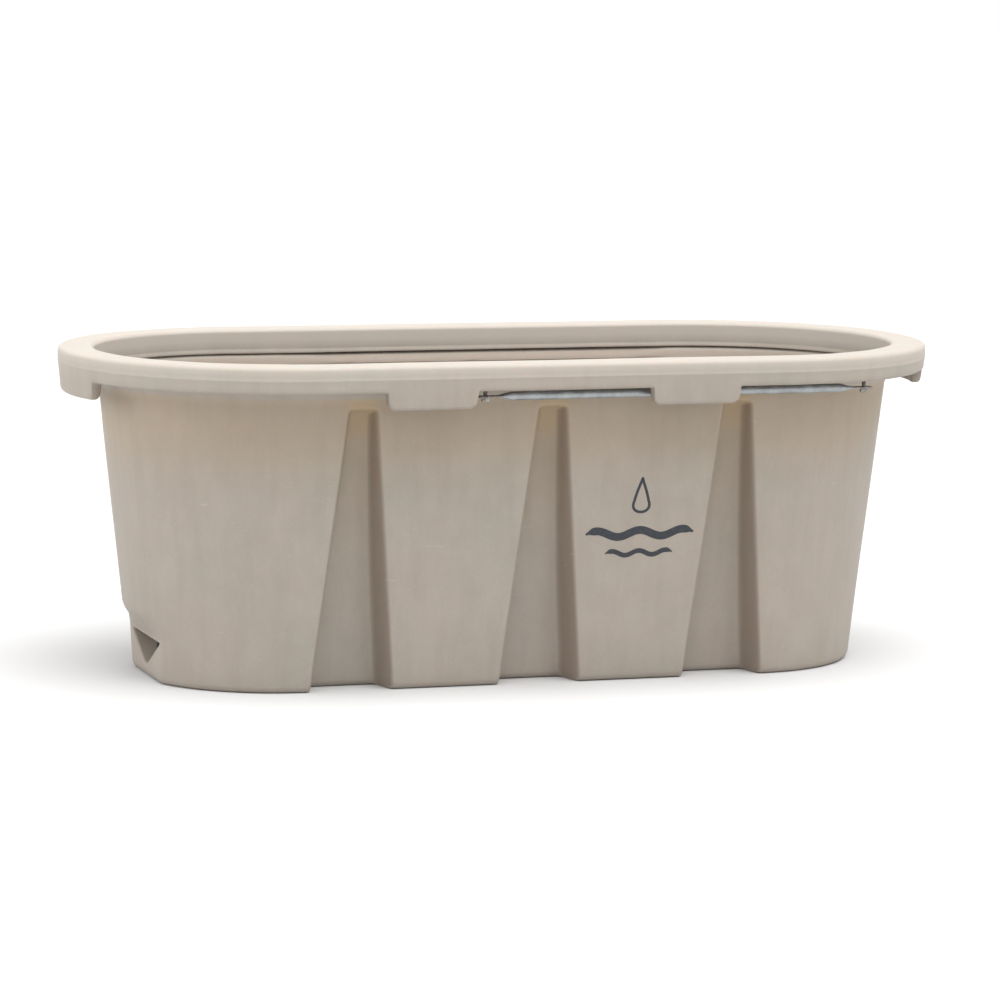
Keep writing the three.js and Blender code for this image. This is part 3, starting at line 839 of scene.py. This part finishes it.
def drain_fitting():
    """The brass fitting, flange outwards, with an internal thread."""
    length = FITTING_HIGH.x - FITTING_LOW.x
    flange = (FITTING_HIGH.z - FITTING_LOW.z) / 2
    foot = length - FLANGE
    outside = [
        (BODY_RADIUS - 0.5, 0), (BODY_RADIUS, 0.5), (BODY_RADIUS, foot), (flange - 0.3, foot),
        (flange, foot + 0.3), (flange, length - 0.5), (flange - 0.5, length),
        (FITTING_BORE + 2.2, length), (FITTING_BORE + 0.6, length - 0.9),
    ]
    sides = 72
    rings = [circle(r, z, sides) for r, z in outside]
    rings += thread_rings(FITTING_BORE + 1.0, PLUG_PITCH, length - 1.4, 0.8, sides)
    rings.append(circle(FITTING_BORE + 0.6, 0, sides))
    points, faces = grid([*rings, rings[0]], capped=False)
    piece = mesh_object(side_piece("drain_fitting"), points, faces, 32)
    return facing_drain(piece, FITTING_HIGH.x)


def drain_seal():
    """A flat rubber ring with rounded edges."""
    thickness = SEAL_HIGH.x - SEAL_LOW.x
    outer = (SEAL_HIGH.z - SEAL_LOW.z) / 2
    inner = outer - 4
    outline = []
    for centre, first in ((outer - thickness / 2, -90), (inner + thickness / 2, 90)):
        for i in range(9):
            turn = math.radians(first + 180 * i / 8)
            across = centre + thickness / 2 * math.cos(turn)
            outline.append((across, thickness / 2 + thickness / 2 * math.sin(turn)))
    piece = turned(side_piece("drain_seal"), outline, 64, 60)
    return facing_drain(piece, SEAL_HIGH.x)


def drain_plug():
    """The plug: a right-hand thread, a flange that bears on the seal, and a hexagon head."""
    length = PLUG_HIGH.x - PLUG_LOW.x
    flange_radius = (PLUG_HIGH.z - PLUG_LOW.z) / 2
    flange_foot = PLUG_HIGH.x + FLANGE_FACE_X
    sides = 72
    rings = [circle(PLUG_THREAD_RADIUS - 2, 0, sides)]
    rings += thread_rings(PLUG_THREAD_RADIUS, PLUG_PITCH, 0.9, flange_foot - 1.2, sides)
    profile = [
        (PLUG_THREAD_RADIUS - 0.9, flange_foot - 0.4), (PLUG_THREAD_RADIUS - 0.2, flange_foot),
        (flange_radius - 0.5, flange_foot), (flange_radius, flange_foot + 0.5),
        (flange_radius, flange_foot + 2.3), (flange_radius - 0.7, flange_foot + PLUG_FLANGE),
    ]
    rings += [circle(r, z, sides) for r, z in profile]
    rings += hexagon_rings(PLUG_HEAD_FLATS, flange_foot + PLUG_FLANGE, length, sides)[1:]
    recess = ((9.6, length), (9.0, length - 0.6), (8.8, length - 2.6), (8.0, length - 3.2))
    rings += [circle(r, z, sides) for r, z in recess]
    piece = mesh_object(side_piece("drain_plug"), *grid(rings, capped=True), 32)
    return facing_drain(piece, PLUG_HIGH.x)


# ---------------------------------------------------------------- painted mark

MARK_X = 182
MARK_FILM = 0.25


def on_panel(u, v, off):
    """A point on the front panel: u along the tank from the mark's middle, v its height."""
    base = Vector((MARK_X + u, -wall_radius(v), v))
    normal = Vector((0, -1, -WALL_SLOPE)).normalized()
    return base + normal * (wave(base) + off)


def painted_strip(name, path, half_widths, closed):
    """A thin film of paint that follows a path of (u, v) on the panel."""
    rows = []
    for i, (u, v) in enumerate(path):
        before = path[i - 1] if closed or i else path[i]
        after = path[(i + 1) % len(path)] if closed or i + 1 < len(path) else path[i]
        along = Vector((after[0] - before[0], after[1] - before[1])).normalized()
        side = Vector((-along.y, along.x)) * half_widths[i]
        rows.append([
            on_panel(u + side.x * s, v + side.y * s, off)
            for s, off in ((1, -0.3), (1, MARK_FILM), (-1, MARK_FILM), (-1, -0.3))
        ])
    if closed:
        rows.append(rows[0])
    return mesh_object(name, *grid(rows, capped=not closed), 30)


def water_mark():
    """A plain sign for water: a drop over two waves."""
    drop = []
    tip, middle, radius = 384, 342, 22
    count = 64
    for i in range(count):
        turn = 2 * math.pi * i / count
        u = radius * math.sin(turn) * math.sin(turn / 2) ** 1.35
        rise = tip - middle if math.cos(turn) > 0 else radius
        drop.append((u, middle + rise * math.cos(turn)))
    pieces = [painted_strip("mark_drop", drop, [2.6] * count, closed=True)]
    for name, centre, length, height, half in (
        ("mark_wave_large", 280, 212, 6, 7.5), ("mark_wave_small", 243, 132, 4, 4.5),
    ):
        path, widths = [], []
        for i in range(count + 1):
            t = i / count
            path.append((length * (t - 0.5), centre + height * math.sin(5 * math.pi * t)))
            widths.append(half * (0.25 + 0.75 * smooth(min(t, 1 - t) / 0.08)))
        pieces.append(painted_strip(name, path, widths, closed=False))
    return pieces


# ---------------------------------------------------------------- materials


# Linear red, green and blue.
PLASTIC_COOL = (0.328, 0.300, 0.256)
PLASTIC_PINK = (0.358, 0.305, 0.262)
PLASTIC_PALE = (0.390, 0.348, 0.304)
PLASTIC_DULL = (0.275, 0.240, 0.200)
PLASTIC_LIGHT = (0.520, 0.480, 0.425)
# Painted glow: an orange tint standing in for light that comes through the plastic under the rim.
PLASTIC_GLOW = (0.400, 0.280, 0.145)
# Painted light: the rim's colour, paler than the wall, as if it caught more light and sheen.
PLASTIC_LIT_RIM = (0.530, 0.485, 0.432)
# Painted shade: a dull brown for inside below the lip and on the channels' flanks.
PLASTIC_SHADE = (0.225, 0.170, 0.130)


class Shader:
    """A material with one Principled shader, and short calls for the nodes that drive it."""

    def __init__(self, name, **constants):
        self.material = bpy.data.materials.new(name)
        self.material.use_nodes = True
        self.tree = self.material.node_tree
        self.surface = self.tree.nodes["Principled BSDF"]
        for socket, value in constants.items():
            self.surface.inputs[socket.replace("_", " ").title().replace("Ior", "IOR")].default_value = value
        self.coordinates = self.tree.nodes.new("ShaderNodeTexCoord").outputs["Object"]

    def node(self, kind, **settings):
        made = self.tree.nodes.new(kind)
        for key, value in settings.items():
            setattr(made, key, value)
        return made

    def link(self, source, target):
        self.tree.links.new(source, target)

    def stretched(self, scale):
        """Object coordinates, scaled by a different amount along each axis."""
        mapping = self.node("ShaderNodeMapping")
        mapping.inputs["Scale"].default_value = scale
        self.link(self.coordinates, mapping.inputs["Vector"])
        return mapping.outputs["Vector"]

    def noise(self, scale, detail=2.0, roughness=0.5, vector=None):
        made = self.node("ShaderNodeTexNoise")
        self.link(vector or self.coordinates, made.inputs["Vector"])
        for socket, value in (("Scale", scale), ("Detail", detail), ("Roughness", roughness)):
            made.inputs[socket].default_value = value
        return made.outputs["Fac"]

    def cells(self, scale):
        made = self.node("ShaderNodeTexVoronoi")
        self.link(self.coordinates, made.inputs["Vector"])
        made.inputs["Scale"].default_value = scale
        return made.outputs["Color"]

    def attribute(self, name):
        return self.node("ShaderNodeAttribute", attribute_name=name).outputs["Fac"]

    def between(self, source, low, high, to_low=0.0, to_high=1.0):
        """Stretches source's low to high onto to_low to to_high, held at both ends."""
        made = self.node("ShaderNodeMapRange", clamp=True)
        self.link(source, made.inputs["Value"])
        for socket, value in (("From Min", low), ("From Max", high), ("To Min", to_low), ("To Max", to_high)):
            made.inputs[socket].default_value = value
        return made.outputs["Result"]

    def times(self, a, b):
        made = self.node("ShaderNodeMath", operation="MULTIPLY")
        self.link(a, made.inputs[0])
        self.link(b, made.inputs[1])
        return made.outputs[0]

    def mix(self, amount, a, b, mode="MIX"):
        """Mixes two colours, each a socket or plain red, green and blue."""
        made = self.node("ShaderNodeMix", data_type="RGBA", blend_type=mode)
        self.link(amount, made.inputs["Factor"])
        for socket, value in (("A", a), ("B", b)):
            target = [i for i in made.inputs if i.name == socket and i.type == "RGBA"][0]
            if isinstance(value, tuple):
                target.default_value = (*value, 1)
            else:
                self.link(value, target)
        return [o for o in made.outputs if o.type == "RGBA"][0]

    def set(self, socket, source):
        self.link(source, self.surface.inputs[socket])

    def bump(self, layers):
        """Bumps from (height socket, distance in metres, strength), laid over each other."""
        normal = None
        for height, distance, strength in layers:
            made = self.node("ShaderNodeBump")
            made.inputs["Distance"].default_value = distance
            made.inputs["Strength"].default_value = strength
            self.link(height, made.inputs["Height"])
            if normal:
                self.link(normal, made.inputs["Normal"])
            normal = made.outputs["Normal"]
        self.set("Normal", normal)


def polyethylene():
    """Rotationally moulded plastic: speckled powder, cloudy patches, faint runs and scuffs."""
    s = Shader("polyethylene", specular_ior_level=0.35, subsurface_weight=0.2, subsurface_scale=0.006)
    cloud = s.between(s.noise(3.2, 4, 0.6), 0.35, 0.68)
    mottle = s.between(s.noise(17, 5, 0.62), 0.36, 0.66)
    speckle = s.between(s.noise(620, 3, 0.6), 0.36, 0.66)
    fleck = s.between(s.noise(260, 2, 0.5), 0.62, 0.74)
    runs = s.between(s.noise(1.0, 4, 0.6, s.stretched((34, 34, 3.5))), 0.42, 0.68)
    scuff = s.between(s.noise(1.0, 5, 0.7, s.stretched((9, 22, 85))), 0.66, 0.74)
    scuff = s.times(scuff, s.between(s.noise(6.5, 2), 0.5, 0.62))
    colour = s.mix(cloud, PLASTIC_COOL, PLASTIC_PINK)
    colour = s.mix(s.between(mottle, 0, 1, 0, 0.55), colour, PLASTIC_PALE)
    colour = s.mix(s.between(runs, 0, 1, 0, 0.28), colour, PLASTIC_DULL)
    colour = s.mix(s.between(speckle, 0, 1, 0.0, 0.34), colour, PLASTIC_DULL)
    colour = s.mix(s.between(fleck, 0, 1, 0.0, 0.16), colour, PLASTIC_LIGHT)
    # A painted glow under the rim and in the channels, standing in for light through the plastic.
    colour = s.mix(s.between(s.attribute("painted_glow"), 0, 1, 0, 0.85), colour, PLASTIC_GLOW)
    # Painted light and sheen that make the rim paler than the wall.
    colour = s.mix(s.between(s.attribute("pale"), 0, 1, 0, 0.8), colour, PLASTIC_LIT_RIM)
    # Painted shade inside below the lip and on the channels' flanks.
    colour = s.mix(s.between(s.attribute("painted_shade"), 0, 1, 0, 0.6), colour, PLASTIC_SHADE)
    colour = s.mix(s.between(scuff, 0, 1, 0, 0.5), colour, PLASTIC_LIGHT)
    s.set("Base Color", colour)
    s.set("Roughness", s.between(mottle, 0, 1, 0.52, 0.66))
    s.bump([
        (s.noise(150, 3, 0.55), 0.0006, 0.16), (s.noise(900, 2, 0.5), 0.0002, 0.22), (scuff, 0.0003, 0.2),
    ])
    return s.material


def galvanised_steel():
    """Hot-dip zinc: dull crystals a few millimetres across, white bloom, and rust near the ends."""
    s = Shader("galvanised_steel", metallic=0.85)
    crystal = s.between(s.cells(150), 0.0, 1.0)
    bloom = s.between(s.noise(42, 4, 0.6), 0.42, 0.66)
    grime = s.between(s.noise(75, 5, 0.65), 0.5, 0.68)
    colour = s.mix(s.between(crystal, 0, 1, 0.2, 0.8), (0.26, 0.275, 0.285), (0.39, 0.41, 0.425))
    colour = s.mix(s.between(bloom, 0, 1, 0, 0.6), colour, (0.50, 0.53, 0.54))
    rust = s.times(s.attribute("rust"), s.between(s.noise(120, 5, 0.7), 0.38, 0.56))
    colour = s.mix(s.between(grime, 0, 1, 0, 0.3), colour, (0.25, 0.23, 0.20))
    colour = s.mix(rust, colour, (0.13, 0.06, 0.03))
    s.set("Base Color", colour)
    s.set("Metallic", s.between(rust, 0, 1, 0.85, 0.1))
    s.set("Roughness", s.between(bloom, 0, 1, 0.36, 0.56))
    s.bump([(s.noise(90, 3), 0.0003, 0.2), (s.noise(700, 2), 0.0001, 0.2)])
    return s.material


def zinc_steel():
    """Bright zinc plate, handled and slightly dulled."""
    s = Shader("zinc_steel", metallic=0.9)
    dull = s.between(s.noise(300, 4, 0.6), 0.4, 0.68)
    stain = s.between(s.noise(120, 4, 0.6), 0.5, 0.7)
    colour = s.mix(dull, (0.33, 0.33, 0.31), (0.46, 0.46, 0.42))
    colour = s.mix(s.between(stain, 0, 1, 0, 0.75), colour, (0.15, 0.10, 0.06))
    s.set("Base Color", colour)
    s.set("Roughness", s.between(dull, 0, 1, 0.42, 0.28))
    s.bump([(s.noise(1100, 2), 0.0001, 0.15)])
    return s.material


def brass():
    """Turned brass, tarnished in patches, with fine lathe lines."""
    s = Shader("brass", metallic=0.92)
    tarnish = s.between(s.noise(130, 4, 0.6), 0.42, 0.66)
    lines = s.noise(1.0, 1, 0.5, s.stretched((2600, 90, 90)))
    colour = s.mix(tarnish, (0.62, 0.45, 0.19), (0.36, 0.25, 0.11))
    s.set("Base Color", colour)
    s.set("Roughness", s.between(tarnish, 0, 1, 0.28, 0.5))
    s.bump([(lines, 0.0001, 0.2)])
    return s.material


def rubber():
    s = Shader("rubber", specular_ior_level=0.3)
    dust = s.between(s.noise(240, 4, 0.65), 0.45, 0.7)
    s.set("Base Color", s.mix(dust, (0.018, 0.018, 0.019), (0.055, 0.052, 0.048)))
    s.set("Roughness", s.between(dust, 0, 1, 0.62, 0.85))
    s.bump([(s.noise(900, 2), 0.0001, 0.3)])
    return s.material


def plug_plastic():
    """Filled nylon: nearly black, satin, with pale scuffs."""
    s = Shader("plug_plastic", specular_ior_level=0.5)
    dust = s.between(s.noise(160, 5, 0.65), 0.48, 0.7)
    scuff = s.between(s.noise(1.0, 4, 0.7, s.stretched((60, 260, 900))), 0.62, 0.72)
    colour = s.mix(s.between(dust, 0, 1, 0, 0.6), (0.030, 0.032, 0.034), (0.085, 0.08, 0.073))
    s.set("Base Color", s.mix(s.between(scuff, 0, 1, 0, 0.4), colour, (0.2, 0.19, 0.18)))
    s.set("Roughness", s.between(dust, 0, 1, 0.42, 0.62))
    s.bump([(s.noise(1200, 2), 0.0001, 0.25)])
    return s.material


def paint():
    """Printed ink that has taken up the plastic's grain."""
    s = Shader("paint", specular_ior_level=0.35)
    worn = s.between(s.noise(520, 4, 0.65), 0.55, 0.72)
    s.set("Base Color", s.mix(s.between(worn, 0, 1, 0, 0.55), (0.028, 0.032, 0.04), (0.17, 0.16, 0.15)))
    s.set("Roughness", s.between(worn, 0, 1, 0.5, 0.68))
    s.bump([(s.noise(900, 2), 0.0002, 0.22)])
    return s.material


# ---------------------------------------------------------------- pieces on the frame


def finish(piece, body, material, slot, *nodes):
    """Puts a finished piece on its body, in place of the CAD nodes it stands for."""
    piece.data.materials.clear()
    piece.data.materials.append(material)
    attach(piece, body)
    if nodes:
        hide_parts(*nodes)
    return piece


def rust_near(piece, places, reach):
    """Marks how rusty each point is: most where the zinc was broken at the bolts."""
    values = []
    for vertex in piece.data.vertices:
        point = vertex.co / MM
        distance = min(math.hypot(point.x - p.x, point.y - p.y) for p in places)
        values.append(1 - smooth(distance / reach))
    piece.data.attributes.new("rust", "FLOAT", "POINT").data.foreach_set("value", values)


def build_trough():
    plastic, steel, zinc, brassy = polyethylene(), galvanised_steel(), zinc_steel(), brass()
    finish(moulded_shell(), "tank", plastic, "polyethylene", "tank_shell")
    places = bolt_places()
    for side in ("front", "rear"):
        near, far = places[side, "near"], places[side, "far"]
        tube = brace_tube(f"{side}_brace_tube", near, far)
        rust_near(tube, (near, far), 46)
        finish(tube, "tank", steel, "galvanised_steel", f"{side}_brace_tube")
        for end in ("near", "far"):
            for make, kind, material, slot in (
                (brace_bolt, "brace_bolt", zinc, "zinc_steel"), (washer, "washer", zinc, "zinc_steel"),
                (rim_insert, "rim_insert", brassy, "brass"),
            ):
                node = f"{side}_{end}_{kind}"
                finish(make(node), "tank", material, slot, node)
    finish(drain_fitting(), "tank", brassy, "brass", "drain_fitting")
    finish(drain_seal(), "seal", rubber(), "rubber", "drain_seal")
    finish(drain_plug(), "plug", plug_plastic(), "plug_plastic", "drain_plug")
    ink = paint()
    for piece in water_mark():
        finish(piece, "tank", ink, "polyethylene")


# ---------------------------------------------------------------- camera, floor and light

CAMERA_PLACE = Vector((-2.7121, -8.0574, 1.4241))
CAMERA_TARGET = Vector((0.0073, 0, 0.3089))
CAMERA_ROLL = 0.0145
CAMERA_LENS = 162.7
SENSOR_WIDTH = 36

FLOOR_REACH = 40  # metres each way, so that its edge is lost in the white behind it
FLOOR_TONE = (0.60, 0.60, 0.60)
SUN_TILT = (math.radians(17), math.radians(6), 0)
SUN_SOFTNESS = math.radians(55)


def add(name, data, place=(0, 0, 0)):
    made = bpy.data.objects.new(name, data)
    made.location = place
    bpy.context.scene.collection.objects.link(made)
    return made


def add_camera():
    lens = bpy.data.cameras.new("camera")
    lens.lens = CAMERA_LENS
    lens.sensor_width = SENSOR_WIDTH
    lens.clip_end = 200
    camera = add("camera", lens)
    forward = (CAMERA_TARGET - CAMERA_PLACE).normalized()
    level = forward.to_track_quat("-Z", "Y").to_matrix().to_4x4()
    camera.matrix_world = Matrix.Translation(CAMERA_PLACE) @ level @ Matrix.Rotation(CAMERA_ROLL, 4, "Z")
    bpy.context.scene.camera = camera


def add_area_light(name, place, target, width, height, power):
    light = bpy.data.lights.new(name, "AREA")
    light.shape = "RECTANGLE"
    light.size = width
    light.size_y = height
    light.energy = power
    made = add(name, light, place)
    made.rotation_euler = (Vector(target) - Vector(place)).to_track_quat("-Z", "Y").to_euler()


def add_floor():
    reach = FLOOR_REACH / MM
    square = [(-reach, -reach, 0), (reach, -reach, 0), (reach, reach, 0), (-reach, reach, 0)]
    floor = mesh_object("floor", square, [(0, 1, 2, 3)])
    s = Shader("floor", roughness=0.9, specular_ior_level=0.2)
    s.set("Base Color", s.mix(s.noise(0.8, 3), FLOOR_TONE, tuple(1.02 * c for c in FLOOR_TONE)))
    floor.data.materials.append(s.material)


def add_light():
    world = bpy.data.worlds.new("studio")
    world.use_nodes = True
    world.node_tree.nodes["Background"].inputs["Color"].default_value = (1, 1, 1, 1)
    world.node_tree.nodes["Background"].inputs["Strength"].default_value = 1.0
    bpy.context.scene.world = world
    sun = bpy.data.lights.new("overhead", "SUN")
    sun.energy = 3.2
    sun.angle = SUN_SOFTNESS
    add("overhead", sun).rotation_euler = SUN_TILT
    add_area_light("left_side", (-6, 0.8, 2.4), (-0.6, 0, 0.2), 3, 2.4, 80)
    bpy.context.scene.view_settings.view_transform = "Standard"


add_camera()
build_trough()
add_floor()
add_light()
